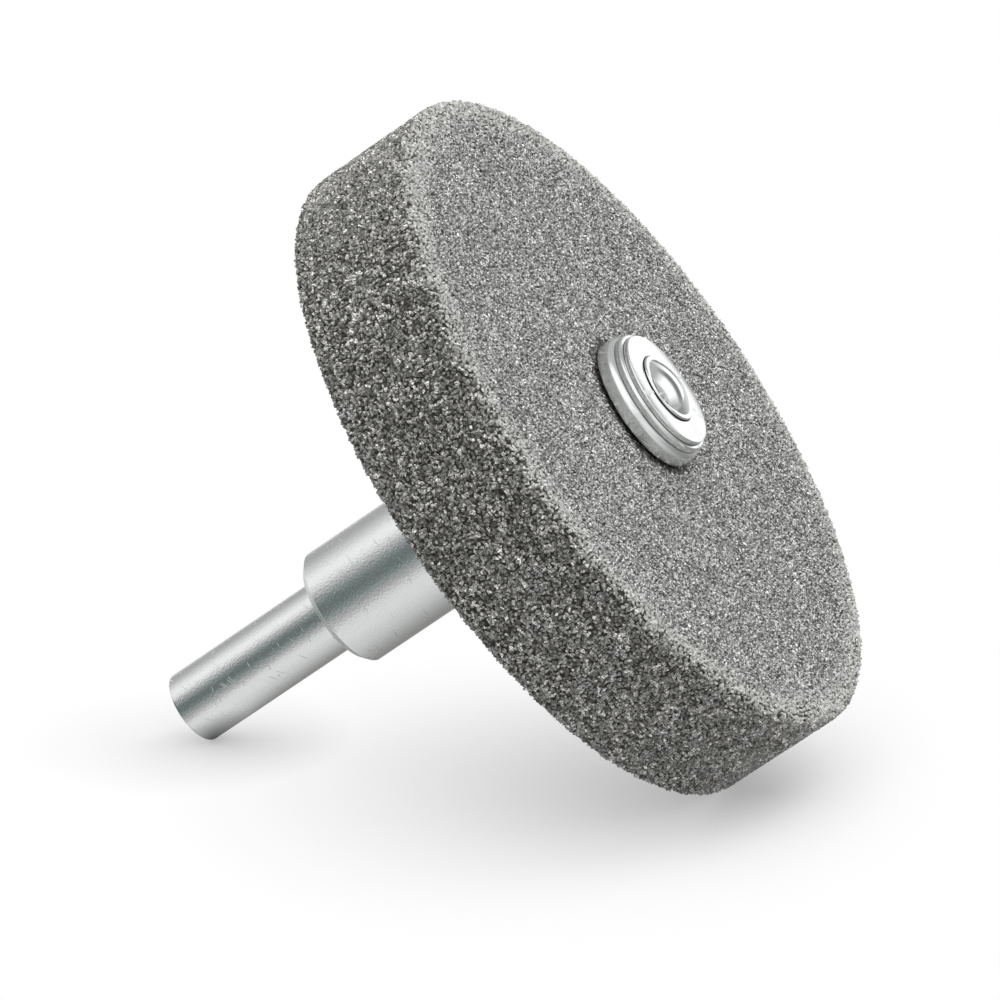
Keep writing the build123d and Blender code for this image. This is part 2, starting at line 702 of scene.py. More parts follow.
def zinc_plated_steel():
    """Turned mild steel with bright zinc plating: glossy over fine tool rings."""
    stone = bpy.context.scene.grinding_stone
    steel = bpy.context.scene.turned_steel
    material, tree = new_material("zinc_plated_turned_steel")
    place = tool_coordinates(tree)
    axes, radius = across_and_along(tree, place)
    # Tool rings run round the spindle. Real ones are too fine to show, so these are
    # drawn a quarter of a millimetre apart.
    ring_width = 0.25 * MM
    section_place = add_node(
        tree, "ShaderNodeCombineXYZ", {"X": radius, "Z": axes.outputs["Z"]}
    )
    rings = add_node(
        tree,
        "ShaderNodeTexNoise",
        {
            "Vector": section_place,
            "Scale": 1 / ring_width,
            "Detail": 2.0,
            "Roughness": 0.6,
        },
    )
    # The plating has a grain like frosted sugar, drawn coarse enough to show.
    plating_grain = 0.24 * MM
    grain = add_node(
        tree,
        "ShaderNodeTexNoise",
        {"Vector": place, "Scale": 1 / plating_grain, "Detail": 3.0, "Roughness": 0.6},
    )
    scratched = handling_scratches(tree, place, axes)
    shading = painted_corner_shade(tree, section_place)
    plating = add_node(
        tree,
        "ShaderNodeMix",
        {
            "Factor": scratched,
            "A": (*steel.zinc_colour, 1.0),
            "B": (*steel.torn_zinc_colour, 1.0),
        },
        data_type="RGBA",
    )
    # Painted shade darkens the corners of the stack, and the same mask dulls them below.
    colour = add_node(
        tree,
        "ShaderNodeMix",
        {"Factor": shading, "A": plating, "B": (*steel.corner_shade_colour, 1.0)},
        data_type="RGBA",
    )
    # The head and the washers' faces were pressed smooth in riveting, the washers' sides
    # are dull, and the spindle is satin. Its finish starts out of sight, in the wheel.
    pressed = add_node(
        tree,
        "ShaderNodeMapRange",
        {
            "Value": radius,
            "From Min": steel.upper_washer_face_radius - 0.1 * MM,
            "From Max": steel.upper_washer_radius - 0.05 * MM,
            "To Min": 0.05,
            "To Max": 0.24,
        },
    )
    in_front = add_node(
        tree,
        "ShaderNodeMapRange",
        {"Value": axes.outputs["Z"], "From Min": -12.0 * MM, "From Max": -1.0 * MM},
    )
    on_spindle = add_node(
        tree, "ShaderNodeMath", {0: 1.0, 1: in_front}, operation="SUBTRACT"
    )
    rough = add_node(
        tree,
        "ShaderNodeMix",
        {"Factor": in_front, "A": 0.11, "B": pressed},
        data_type="FLOAT",
    )
    # The chamfer behind the collar is freshly cut, and so duller.
    chamfer_middle = -stone.thickness - steel.collar_length + steel.collar_chamfer / 2
    cut = add_node(
        tree,
        "ShaderNodeMath",
        {
            0: axes.outputs["Z"],
            1: chamfer_middle,
            2: steel.collar_chamfer / 2 + 0.02 * MM,
        },
        operation="COMPARE",
    )
    speckled = add_node(
        tree,
        "ShaderNodeMapRange",
        {
            "Value": grain.outputs["Fac"],
            "From Min": 0.45,
            "From Max": 0.75,
            "To Min": 0.0,
            "To Max": 0.16,
        },
    )
    for mark, dulling in (
        (speckled, on_spindle),
        (scratched, 0.6),
        (cut, 0.35),
        (shading, 0.4),
    ):
        rough = add_node(
            tree,
            "ShaderNodeMath",
            {0: mark, 1: dulling, 2: rough},
            operation="MULTIPLY_ADD",
        )
    ring_bump = add_node(
        tree,
        "ShaderNodeBump",
        {"Strength": 0.35, "Distance": 0.006 * MM, "Height": rings.outputs["Fac"]},
    )
    frosting = add_node(
        tree,
        "ShaderNodeMath",
        {0: on_spindle, 1: 0.85, 2: 0.15},
        operation="MULTIPLY_ADD",
    )
    grain_bump = add_node(
        tree,
        "ShaderNodeBump",
        {
            "Strength": frosting,
            "Distance": 0.034 * MM,
            "Height": grain.outputs["Fac"],
            "Normal": ring_bump,
        },
    )
    # Torn plating scatters light, so scratches show pale where the steel mirrors
    # something dark.
    metallic = add_node(
        tree,
        "ShaderNodeMath",
        {0: scratched, 1: -0.7, 2: 1.0},
        operation="MULTIPLY_ADD",
    )
    shader = add_node(
        tree,
        "ShaderNodeBsdfPrincipled",
        {
            "Base Color": colour,
            "Metallic": metallic,
            "Roughness": rough,
            "Normal": grain_bump,
        },
    )
    add_node(tree, "ShaderNodeOutputMaterial", {"Surface": shader})
    return material


def arc(centre_radius, centre_along, bend, start, end, steps):
    """Points of a rounded edge, from one angle to another in degrees."""
    points = []
    for i in range(steps + 1):
        angle = math.radians(start + (end - start) * i / steps)
        points.append(
            (
                centre_radius + bend * math.cos(angle),
                centre_along + bend * math.sin(angle),
            )
        )
    return points


def turn(name, profile, closed):
    """Turn a piece from a ring: each point of the profile is a radius and a height.

    The ring is extruded from point to point. A closed profile joins back to its start,
    which leaves a bore; an open one is filled at both ends."""
    steps_round = 192
    clear_selection()
    first_radius, first_along = profile[0]
    bpy.ops.mesh.primitive_circle_add(
        vertices=steps_round,
        radius=first_radius,
        fill_type="NOTHING" if closed else "NGON",
        location=(0, 0, first_along),
    )
    piece = bpy.context.object
    piece.name = name
    piece.data.name = name
    bpy.ops.object.transform_apply(location=True, rotation=False, scale=False)
    bpy.ops.object.mode_set(mode="EDIT")
    bpy.ops.mesh.select_mode(type="EDGE")
    bpy.ops.mesh.select_all(action="SELECT")
    points = profile[1:] + profile[:1] if closed else profile[1:]
    radius, along = first_radius, first_along
    for next_radius, next_along in points:
        bpy.ops.mesh.extrude_edges_move(
            TRANSFORM_OT_translate={"value": (0, 0, next_along - along)}
        )
        ratio = next_radius / radius
        bpy.ops.transform.resize(
            value=(ratio, ratio, 1), center_override=(0, 0, next_along)
        )
        radius, along = next_radius, next_along
    if not closed:
        bpy.ops.mesh.edge_face_add()
    bpy.ops.mesh.select_all(action="SELECT")
    bpy.ops.mesh.remove_doubles(threshold=0.0005 * MM)
    bpy.ops.mesh.normals_make_consistent(inside=False)
    bpy.ops.object.mode_set(mode="OBJECT")
    return piece


class MESH_OT_wheel_body(Operator):
    """Fired body of the wheel: the dark bond that the grains sit in"""

    bl_idname = "mesh.wheel_body"
    bl_label = "Wheel body"

    def execute(self, context):
        stone = context.scene.grinding_stone
        # The body stops short of the wheel's size by the part of a grain that stands out.
        proud = 0.5 * stone.grain
        clear_selection()
        bpy.ops.mesh.primitive_cylinder_add(
            vertices=256,
            radius=stone.diameter / 2 - proud,
            depth=stone.thickness - 2 * proud,
            location=(0, 0, -stone.thickness / 2),
        )
        body = context.object
        body.name = body.data.name = "wheel_body"
        bpy.ops.object.transform_apply(location=True, rotation=False, scale=False)
        edge = body.modifiers.new("rounded_edge", "BEVEL")
        edge.width = stone.edge_radius - proud / 2
        edge.segments = 4
        edge.limit_method = "ANGLE"
        edge.angle_limit = math.radians(60)
        bpy.ops.object.modifier_apply(modifier=edge.name)

        clear_selection()
        bpy.ops.mesh.primitive_cylinder_add(
            vertices=96,
            radius=stone.bore_radius,
            depth=stone.thickness * 2,
            location=(0, 0, -stone.thickness / 2),
        )
        drill = context.object
        select_only(body)
        bore = body.modifiers.new("bore", "BOOLEAN")
        bore.object = drill
        bore.operation = "DIFFERENCE"
        bpy.ops.object.modifier_apply(modifier=bore.name)
        bpy.data.objects.remove(drill, do_unlink=True)

        even = body.modifiers.new("even_mesh", "REMESH")
        even.mode = "VOXEL"
        even.voxel_size = 0.45 * MM
        bpy.ops.object.modifier_apply(modifier=even.name)

        pits = bpy.data.textures.new("pits", "VORONOI")
        pits.noise_scale = stone.grain * 1.6
        lumps = body.modifiers.new("pits", "DISPLACE")
        lumps.texture = pits
        lumps.texture_coords = "LOCAL"
        lumps.strength = 0.2 * MM
        lumps.mid_level = 1.0
        bpy.ops.object.modifier_apply(modifier=lumps.name)

        finish_piece(body, bpy.data.materials["vitrified_bond"], angle=60)
        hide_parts("grinding_stone")
        return {"FINISHED"}


def grain_shapes(context):
    """A few broken grains: eight rough facets each, with the corners knocked about."""
    stone = context.scene.grinding_stone
    shapes = bpy.data.collections.new("grain_shapes")
    context.scene.collection.children.link(shapes)
    shape_count = 6
    # Half the width of a shape, for a grain one unit wide once its corners have moved.
    half = 0.72
    corner_shift = 0.24
    for i in range(shape_count):
        clear_selection()
        bpy.ops.mesh.primitive_cone_add(
            vertices=4,
            radius1=half,
            radius2=0.0,
            depth=half,
            end_fill_type="NOTHING",
            location=(0, 0, half / 2),
        )
        grain = context.object
        grain.name = f"grain_shape_{i}"
        bpy.ops.object.transform_apply(location=True, rotation=False, scale=False)
        mirror = grain.modifiers.new("mirror", "MIRROR")
        mirror.use_axis = (False, False, True)
        bpy.ops.object.modifier_apply(modifier=mirror.name)
        bpy.ops.object.mode_set(mode="EDIT")
        bpy.ops.mesh.select_all(action="SELECT")
        bpy.ops.transform.vertex_random(
            offset=corner_shift, uniform=1.0, normal=0.0, seed=stone.seed + i
        )
        bpy.ops.object.mode_set(mode="OBJECT")
        for collection in list(grain.users_collection):
            collection.objects.unlink(grain)
        shapes.objects.link(grain)
    return shapes


def chosen_side(tree, face, axes, radius):
    """Show where grains of this side go, which is clear of what seats on the wheel."""
    stone = bpy.context.scene.grinding_stone
    steel = bpy.context.scene.turned_steel
    face_limit = stone.diameter / 2 - 0.5 * MM
    if face == "rim":
        return add_node(
            tree, "ShaderNodeMath", {0: radius, 1: face_limit}, operation="GREATER_THAN"
        )
    if face == "front":
        clear = steel.lower_washer_radius + 0.8 * MM
        toward_face = "GREATER_THAN"
    else:
        clear = steel.collar_radius + 0.6 * MM
        toward_face = "LESS_THAN"
    outside_seat = add_node(
        tree, "ShaderNodeMath", {0: radius, 1: clear}, operation="GREATER_THAN"
    )
    within_edge = add_node(
        tree, "ShaderNodeMath", {0: radius, 1: face_limit}, operation="LESS_THAN"
    )
    on_side = add_node(
        tree,
        "ShaderNodeMath",
        {0: axes.outputs["Z"], 1: -stone.thickness / 2},
        operation=toward_face,
    )
    on_face = add_node(
        tree, "ShaderNodeMath", {0: outside_seat, 1: within_edge}, operation="MULTIPLY"
    )
    return add_node(
        tree, "ShaderNodeMath", {0: on_face, 1: on_side}, operation="MULTIPLY"
    )


def levelled_place(tree):
    """Where a corner of a grain ends up once the wheel is dressed.

    A corner is told by its distance from the axis and its height over the wheel's
    middle. An inner outline is smaller than the wheel by the edge radius, and a corner
    past it is pulled back to just under that radius from it."""
    stone = bpy.context.scene.grinding_stone
    bend = stone.edge_radius
    middle = -stone.thickness / 2
    just_under = 0.005 * MM
    position = add_node(tree, "GeometryNodeInputPosition")
    axes, radius = across_and_along(tree, position)
    height = add_node(
        tree, "ShaderNodeMath", {0: axes.outputs["Z"], 1: middle}, operation="SUBTRACT"
    )
    distance_up = add_node(tree, "ShaderNodeMath", {0: height}, operation="ABSOLUTE")
    section = add_node(tree, "ShaderNodeCombineXYZ", {"X": radius, "Y": distance_up})
    inner_outline = (stone.diameter / 2 - bend, stone.thickness / 2 - bend, 0.0)
    core = add_node(
        tree, "ShaderNodeVectorMath", {0: section, 1: inner_outline}, operation="MINIMUM"
    )
    past = add_node(
        tree, "ShaderNodeVectorMath", {0: section, 1: core}, operation="SUBTRACT"
    )
    reach = add_node(tree, "ShaderNodeVectorMath", {0: past}, operation="LENGTH")
    allowed = add_node(
        tree, "ShaderNodeMath", {0: bend - just_under, 1: reach}, operation="DIVIDE"
    )
    keep = add_node(tree, "ShaderNodeMath", {0: allowed, 1: 1.0}, operation="MINIMUM")
    kept = add_node(
        tree, "ShaderNodeVectorMath", {0: past, "Scale": keep}, operation="SCALE"
    )
    dressed = add_node(
        tree, "ShaderNodeVectorMath", {0: core, 1: kept}, operation="ADD"
    )
    dressed_parts = add_node(tree, "ShaderNodeSeparateXYZ", {"Vector": dressed})
    shrink = add_node(
        tree,
        "ShaderNodeMath",
        {0: dressed_parts.outputs["X"], 1: radius},
        operation="DIVIDE",
    )
    side = add_node(tree, "ShaderNodeMath", {0: height}, operation="SIGN")
    new_height = add_node(
        tree,
        "ShaderNodeMath",
        {0: dressed_parts.outputs["Y"], 1: side, 2: middle},
        operation="MULTIPLY_ADD",
    )
    inward = add_node(tree, "ShaderNodeCombineXYZ", {"X": shrink, "Y": shrink})
    lift = add_node(tree, "ShaderNodeCombineXYZ", {"Z": new_height})
    return add_node(
        tree,
        "ShaderNodeVectorMath",
        {0: position, 1: inward, 2: lift},
        operation="MULTIPLY_ADD",
    )


def grit_nodes(shapes, face, grain, spacing):
    """Geometry nodes that scatter grains on one side of the wheel and level their tips."""
    stone = bpy.context.scene.grinding_stone
    tree = bpy.data.node_groups.new("grit_" + face, "GeometryNodeTree")
    for in_out in ("INPUT", "OUTPUT"):
        tree.interface.new_socket(
            "Geometry", in_out=in_out, socket_type="NodeSocketGeometry"
        )
    start = add_node(tree, "NodeGroupInput")
    position = add_node(tree, "GeometryNodeInputPosition")
    axes, radius = across_and_along(tree, position)
    points = add_node(
        tree,
        "GeometryNodeDistributePointsOnFaces",
        {
            "Mesh": start.outputs["Geometry"],
            "Selection": chosen_side(tree, face, axes, radius),
            "Distance Min": spacing,
            "Density Max": 4 / spacing**2,
            "Density Factor": 1.0,
            "Seed": stone.seed,
        },
        distribute_method="POISSON",
    )
    shape = add_node(
        tree,
        "GeometryNodeCollectionInfo",
        {"Collection": shapes, "Separate Children": True, "Reset Children": True},
    )
    pick = add_node(
        tree,
        "FunctionNodeRandomValue",
        {"Min": 0, "Max": len(shapes.objects) - 1, "Seed": stone.seed + 1},
        data_type="INT",
    )
    turned = add_node(
        tree,
        "FunctionNodeRandomValue",
        {"Min": (0, 0, 0), "Max": (math.tau,) * 3, "Seed": stone.seed + 2},
        data_type="FLOAT_VECTOR",
    )
    size = add_node(
        tree,
        "FunctionNodeRandomValue",
        {"Min": (0.7 * grain,) * 3, "Max": (1.3 * grain,) * 3, "Seed": stone.seed + 3},
        data_type="FLOAT_VECTOR",
    )
    geometry = add_node(
        tree,
        "GeometryNodeInstanceOnPoints",
        {
            "Points": points.outputs["Points"],
            "Instance": shape,
            "Pick Instance": True,
            "Instance Index": pick,
            "Rotation": turned,
            "Scale": size,
        },
    )
    # The rim has kept a warmer cast than the two dressed faces, and more of the palest
    # and darkest grains.
    if face == "rim":
        tone_range, tint_range = (0.06, 0.98), (0.0, 0.7)
    else:
        tone_range, tint_range = (0.3, 0.8), (0.6, 1.0)
    for name, (least, most), seed in (
        ("tone", tone_range, stone.seed + 4),
        ("tint", tint_range, stone.seed + 5),
    ):
        chance = add_node(
            tree,
            "FunctionNodeRandomValue",
            {"Min": least, "Max": most, "Seed": seed},
            data_type="FLOAT",
        )
        geometry = add_node(
            tree,
            "GeometryNodeStoreNamedAttribute",
            {"Geometry": geometry, "Name": name, "Value": chance},
            data_type="FLOAT",
            domain="INSTANCE",
        )
    grains = add_node(tree, "GeometryNodeRealizeInstances", {"Geometry": geometry})
    levelled = add_node(
        tree,
        "GeometryNodeSetPosition",
        {"Geometry": grains, "Position": levelled_place(tree)},
    )
    add_node(tree, "NodeGroupOutput", {"Geometry": levelled})
    return tree


class MESH_OT_wheel_grit(Operator):
    """Abrasive grains on the rim, the front face and the back face of the wheel"""

    bl_idname = "mesh.wheel_grit"
    bl_label = "Wheel grit"

    def execute(self, context):
        stone = context.scene.grinding_stone
        body = bpy.data.objects["wheel_body"]
        shapes = grain_shapes(context)
        inverse = tool_matrix().inverted()
        # The faces are dressed finer than the rim.
        for face, grain, spacing in (
            ("rim", 1.15 * stone.grain, 0.92 * stone.grain),
            ("front", 0.93 * stone.grain, 0.82 * stone.grain),
            ("back", 0.93 * stone.grain, 0.9 * stone.grain),
        ):
            clear_selection()
            grit = bpy.data.objects.new(f"{face}_grit", body.data.copy())
            context.scene.collection.objects.link(grit)
            select_only(grit)
            grit.matrix_world = inverse
            bpy.ops.object.transform_apply(location=True, rotation=True, scale=True)
            scatter = grit.modifiers.new("grit", "NODES")
            scatter.node_group = grit_nodes(shapes, face, grain, spacing)
            bpy.ops.object.modifier_apply(modifier=scatter.name)
            finish_piece(grit, bpy.data.materials["crushed_abrasive_grain"])
        for grain in list(shapes.objects):
            bpy.data.objects.remove(grain, do_unlink=True)
        bpy.data.collections.remove(shapes)
        return {"FINISHED"}


class MESH_OT_turned_spindle(Operator):
    """Spindle turned in one piece: shank, collar, stud and the head riveted over"""

    bl_idname = "mesh.turned_spindle"
    bl_label = "Turned spindle"

    def execute(self, context):
        stone = context.scene.grinding_stone
        steel = context.scene.turned_steel
        seat = -stone.thickness
        collar_back = seat - steel.collar_length
        tip = collar_back - steel.shank_length
        tip_bend = 0.35 * MM
        chamfer, seat_chamfer = steel.collar_chamfer, 0.2 * MM
        flange_foot = washer_front()
        flange_thickness, flange_bevel = 0.3 * MM, 0.1 * MM
        dome_foot = flange_foot + flange_thickness
        profile = arc(
            shank_radius - tip_bend, tip + tip_bend, tip_bend, -90, 0, 6
        )
        profile += [
            (shank_radius, collar_back),
            (steel.collar_radius - chamfer, collar_back),
            (steel.collar_radius, collar_back + chamfer),
            (steel.collar_radius, seat - seat_chamfer),
            (steel.collar_radius - seat_chamfer, seat),
            (steel.stud_radius, seat),
            (steel.stud_radius, flange_foot),
            (steel.head_radius - flange_bevel, flange_foot),
            (steel.head_radius, flange_foot + flange_bevel),
            (steel.head_radius, dome_foot - flange_bevel),
            (steel.head_radius - flange_bevel, dome_foot),
        ]
        # Radius of the ball that the riveting tool leaves on the dome.
        ball = (steel.dome_radius**2 + steel.dome_height**2) / (2 * steel.dome_height)
        half = math.degrees(math.asin(steel.dome_radius / ball))
        profile += arc(
            0, dome_foot + steel.dome_height - ball, ball, 90 - half, 89.0, 12
        )
        spindle = turn("turned_spindle", profile, closed=False)
        finish_piece(
            spindle, bpy.data.materials["zinc_plated_turned_steel"], angle=25
        )
        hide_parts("spindle")
        return {"FINISHED"}


class MESH_OT_front_washers(Operator):
    """The two washers that the head is riveted down on"""

    bl_idname = "mesh.front_washers"
    bl_label = "Front washers"

    def execute(self, context):
        stone = context.scene.grinding_stone
        steel = context.scene.turned_steel
        bore = stone.bore_radius
        wide, top = steel.lower_washer_radius, steel.lower_washer_thickness
        foot_bevel, bend = 0.15 * MM, 0.8 * MM
        lower = [(bore, 0.0), (wide - foot_bevel, 0.0), (wide, foot_bevel)]
        lower += arc(wide - bend, top - bend, bend, 0, 90, 12)
        lower += [(bore, top)]
        piece = turn("lower_washer_ring", lower, closed=True)
        finish_piece(piece, bpy.data.materials["zinc_plated_turned_steel"], angle=25)
        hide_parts("lower_washer")

        base, shoulder = steel.upper_washer_radius, top + steel.upper_washer_base
        face, front = steel.upper_washer_face_radius, washer_front()
        base_bevel, base_bend, face_bend = 0.12 * MM, 0.25 * MM, 0.12 * MM
        upper = [(bore, top), (base - base_bevel, top), (base, top + base_bevel)]
        upper += arc(base - base_bend, shoulder - base_bend, base_bend, 0, 90, 6)
        upper += [(face, shoulder)]
        upper += arc(face - face_bend, front - face_bend, face_bend, 0, 90, 4)
        upper += [(bore, front)]
        piece = turn("upper_washer_ring", upper, closed=True)
        finish_piece(piece, bpy.data.materials["zinc_plated_turned_steel"], angle=25)
        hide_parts("upper_washer")
        return {"FINISHED"}


def deepest_shade():
    """Where the floor's shadow is deepest: by the wheel's foot and by the shank's tip."""
    stone = bpy.context.scene.grinding_stone
    steel = bpy.context.scene.turned_steel
    face = tool_matrix().to_translation()
    length = stone.thickness + steel.collar_length + steel.shank_length
    wheel_foot = (
        face.x
        - tool_forward.x * stone.thickness
        + tool_forward.z * stone.diameter / 2
    )
    tip_foot = face.x - tool_forward.x * length + tool_forward.z * shank_radius
    wheel_shade = (wheel_foot + 4 * MM, -4 * MM, 0.0)
    tip_shade = (tip_foot, -1 * MM, 0.0)
    return wheel_shade, tip_shade


def painted_reflection_bands(tree, coordinates):
    """Painted reflection: bands of colour that the floor shows only to mirrored rays.

    They stand for a grey card in front of the tool, bright paper beside it and the
    painted shade of its dim underside, though no card is there. The edges of these
    bands fan out from the point of the floor that the tool's axis aims at, so each
    keeps one width along the whole spindle."""
    face = tool_matrix().to_translation()
    aimed_at = face - tool_forward * (face.z / tool_forward.z)
    from_point = add_node(
        tree,
        "ShaderNodeVectorMath",
        {0: coordinates, 1: aimed_at},
        operation="SUBTRACT",
    )
    fan = add_node(tree, "ShaderNodeSeparateXYZ", {"Vector": from_point})
    turn_round = compass(tree, fan.outputs["Y"], fan.outputs["X"])
    bands = add_node(tree, "ShaderNodeValToRGB", {"Fac": turn_round})
    set_ramp(
        bands,
        turn_to_places(
            [
                (-110, linear("#6a7574")),
                (-97, linear("#8b9595")),
                (-86, linear("#a2a6a6")),
                (-76, grey(0.43)),
                (-68, grey(0.52)),
                (-60, grey(0.75)),
                (-50, grey(0.81)),
                (-31, grey(0.80)),
                (-14, grey(0.64)),
                (0, grey(0.43)),
                (13, linear("#999996")),
                (27, linear("#8b8b89")),
                (42, grey(0.33)),
                (60, grey(0.62)),
                (84, grey(0.90)),
            ]
        ),
    )
    return bands


def paper_sweep():
    """White paper: it glows white for the camera and keeps the soft shadow near the tool, and
    it shows mirrored rays painted reflection bands.
    """
    studio = bpy.context.scene.stone_studio
    material, tree = new_material("white_paper_sweep")
    coordinates = add_node(tree, "ShaderNodeTexCoord").outputs["Object"]
    path = add_node(tree, "ShaderNodeLightPath")
    seen = seen_directly(tree, path)
    from_wheel, from_tip = (
        add_node(
            tree,
            "ShaderNodeVectorMath",
            {0: coordinates, 1: shade},
            operation="DISTANCE",
        )
        for shade in deepest_shade()
    )
    # The paper brightens to plain white away from these two places.
    lift = 1.0
    for distance, reach, darkest in (
        (from_wheel, studio.shadow_reach, 0.27),
        (from_tip, studio.shadow_reach / 3, 0.36),
    ):
        brightened = add_node(
            tree,
            "ShaderNodeMapRange",
            {
                "Value": distance,
                "From Min": 0.0,
                "From Max": reach,
                "To Min": darkest,
                "To Max": 1.0,
            },
        )
        lift = add_node(
            tree, "ShaderNodeMath", {0: lift, 1: brightened}, operation="MINIMUM"
        )
    rest = add_node(tree, "ShaderNodeMath", {0: 1.0, 1: lift}, operation="SUBTRACT")
    shaded = add_node(
        tree,
        "ShaderNodeMath",
        {0: rest, 1: studio.floor_colour},
        operation="MULTIPLY",
    )
    albedo = add_node(
        tree,
        "ShaderNodeMix",
        {"Factor": seen, "A": studio.bounce, "B": shaded},
        data_type="FLOAT",
    )
    paper = add_node(tree, "ShaderNodeBsdfDiffuse", {"Color": albedo})
    glow = add_node(tree, "ShaderNodeMath", {0: seen, 1: lift}, operation="MULTIPLY")
    lifted = add_node(
        tree, "ShaderNodeEmission", {"Color": (*grey(1.0), 1.0), "Strength": glow}
    )
    shown = add_node(tree, "ShaderNodeAddShader", {0: paper, 1: lifted})

    # Painted shade in the painted reflection: under the shank's tip the mirrored bands are
    # darkened, for the dark of their touch.
    touch_shade = add_node(
        tree,
        "ShaderNodeMapRange",
        {
            "Value": from_tip,
            "From Min": 0.5 * MM,
            "From Max": 5.0 * MM,
            "To Min": 0.2,
            "To Max": 1.0,
        },
    )
    mirrored = add_node(
        tree,
        "ShaderNodeEmission",
        {
            "Color": painted_reflection_bands(tree, coordinates).outputs["Color"],
            "Strength": touch_shade,
        },
    )
    # Painted reflection: mirrored rays see the bands, all other rays see the paper.
    surface = add_node(
        tree,
        "ShaderNodeMixShader",
        {"Fac": path.outputs["Is Glossy Ray"], 1: shown, 2: mirrored},
    )
    add_node(tree, "ShaderNodeOutputMaterial", {"Surface": surface})
    return material


def panels_behind(tree, axes):
    """What the spindle mirrors: long panels that stand parallel to the tool.

    Their reflections run along the spindle: a dim room at the camera's side, and a
    bright panel overhead."""
    across = add_node(
        tree, "ShaderNodeMath", {0: axes.outputs["X"], 1: -1.0}, operation="MULTIPLY"
    )
    sideways = add_node(
        tree, "ShaderNodeMath", {0: axes.outputs["Y"], 1: -1.0}, operation="MULTIPLY"
    )
    panels = add_node(
        tree, "ShaderNodeValToRGB", {"Fac": compass(tree, across, sideways)}
    )
    set_ramp(
        panels,
        turn_to_places(
            [
                (6, linear("#6a7574")),
                (25, linear("#636f6f")),
                (39, linear("#899090")),
                (53, grey(0.52)),
                (65, grey(0.92)),
                (82, grey(1.03)),
                (102, grey(0.72)),
                (126, grey(0.44)),
                (170, grey(0.42)),
            ]
        ),
    )
    return panels.outputs["Color"]


def panels_in_front(tree, direction):
    """What the washers and the head's dome mirror.

    The washers' flat faces mirror a white strip low behind them. Grey stands on both
    sides of it and a second strip beyond, for the dome, and the rounded edges mirror
    what is past that: white overhead, grey at the right."""
    strip = Vector((0.322, 0.933, 0.159)).normalized()
    beside = Vector((0.736, -0.353, 0.578)).normalized()
    level = beside.cross(strip)
    toward_strip, toward_beside, toward_level = (
        add_node(
            tree,
            "ShaderNodeVectorMath",
            {0: direction, 1: heading},
            operation="DOT_PRODUCT",
        )
        for heading in (strip, beside, level)
    )
    sweep = compass(tree, toward_beside, toward_strip)
    strips = add_node(tree, "ShaderNodeValToRGB", {"Fac": sweep})
    set_ramp(
        strips,
        turn_to_places(
            [
                (-30, grey(0.26)),
                (-13, grey(0.18)),
                (-8, grey(1.0)),
                (6, grey(1.0)),
                (11, grey(0.18)),
                (22, grey(0.20)),
                (30, grey(1.0)),
                (52, grey(1.0)),
                (60, grey(0.28)),
                (66, grey(0.22)),
            ]
        ),
    )
    # The strips are short: towards their ends they fade to a mid grey.
    off_level = add_node(
        tree, "ShaderNodeMath", {0: toward_level}, operation="ABSOLUTE"
    )
    ends = add_node(
        tree, "ShaderNodeMapRange", {"Value": off_level, "From Min": 0.2, "From Max": 0.4}
    )
    short_strips = add_node(
        tree,
        "ShaderNodeMix",
        {"Factor": ends, "A": strips.outputs["Color"], "B": (*grey(0.42), 1.0)},
        data_type="RGBA",
    )
    level_place = add_node(
        tree,
        "ShaderNodeMath",
        {0: toward_level, 1: 0.5, 2: 0.5},
        operation="MULTIPLY_ADD",
    )
    overhead = add_node(tree, "ShaderNodeValToRGB", {"Fac": level_place})
    set_ramp(
        overhead,
        [
            (0.1, grey(0.60)),
            (0.3, grey(0.80)),
            (0.44, grey(0.62)),
            (0.5, grey(0.85)),
            (0.58, grey(1.0)),
        ],
    )
    beyond = add_node(
        tree, "ShaderNodeMapRange", {"Value": sweep, "From Min": 0.66, "From Max": 0.7}
    )
    panel = add_node(
        tree,
        "ShaderNodeMix",
        {"Factor": beyond, "A": short_strips, "B": overhead.outputs["Color"]},
        data_type="RGBA",
    )
    # The ramps stop at one, and the panels are a little brighter than that.
    return add_node(
        tree, "ShaderNodeVectorMath", {0: panel, "Scale": 1.2}, operation="SCALE"
    )


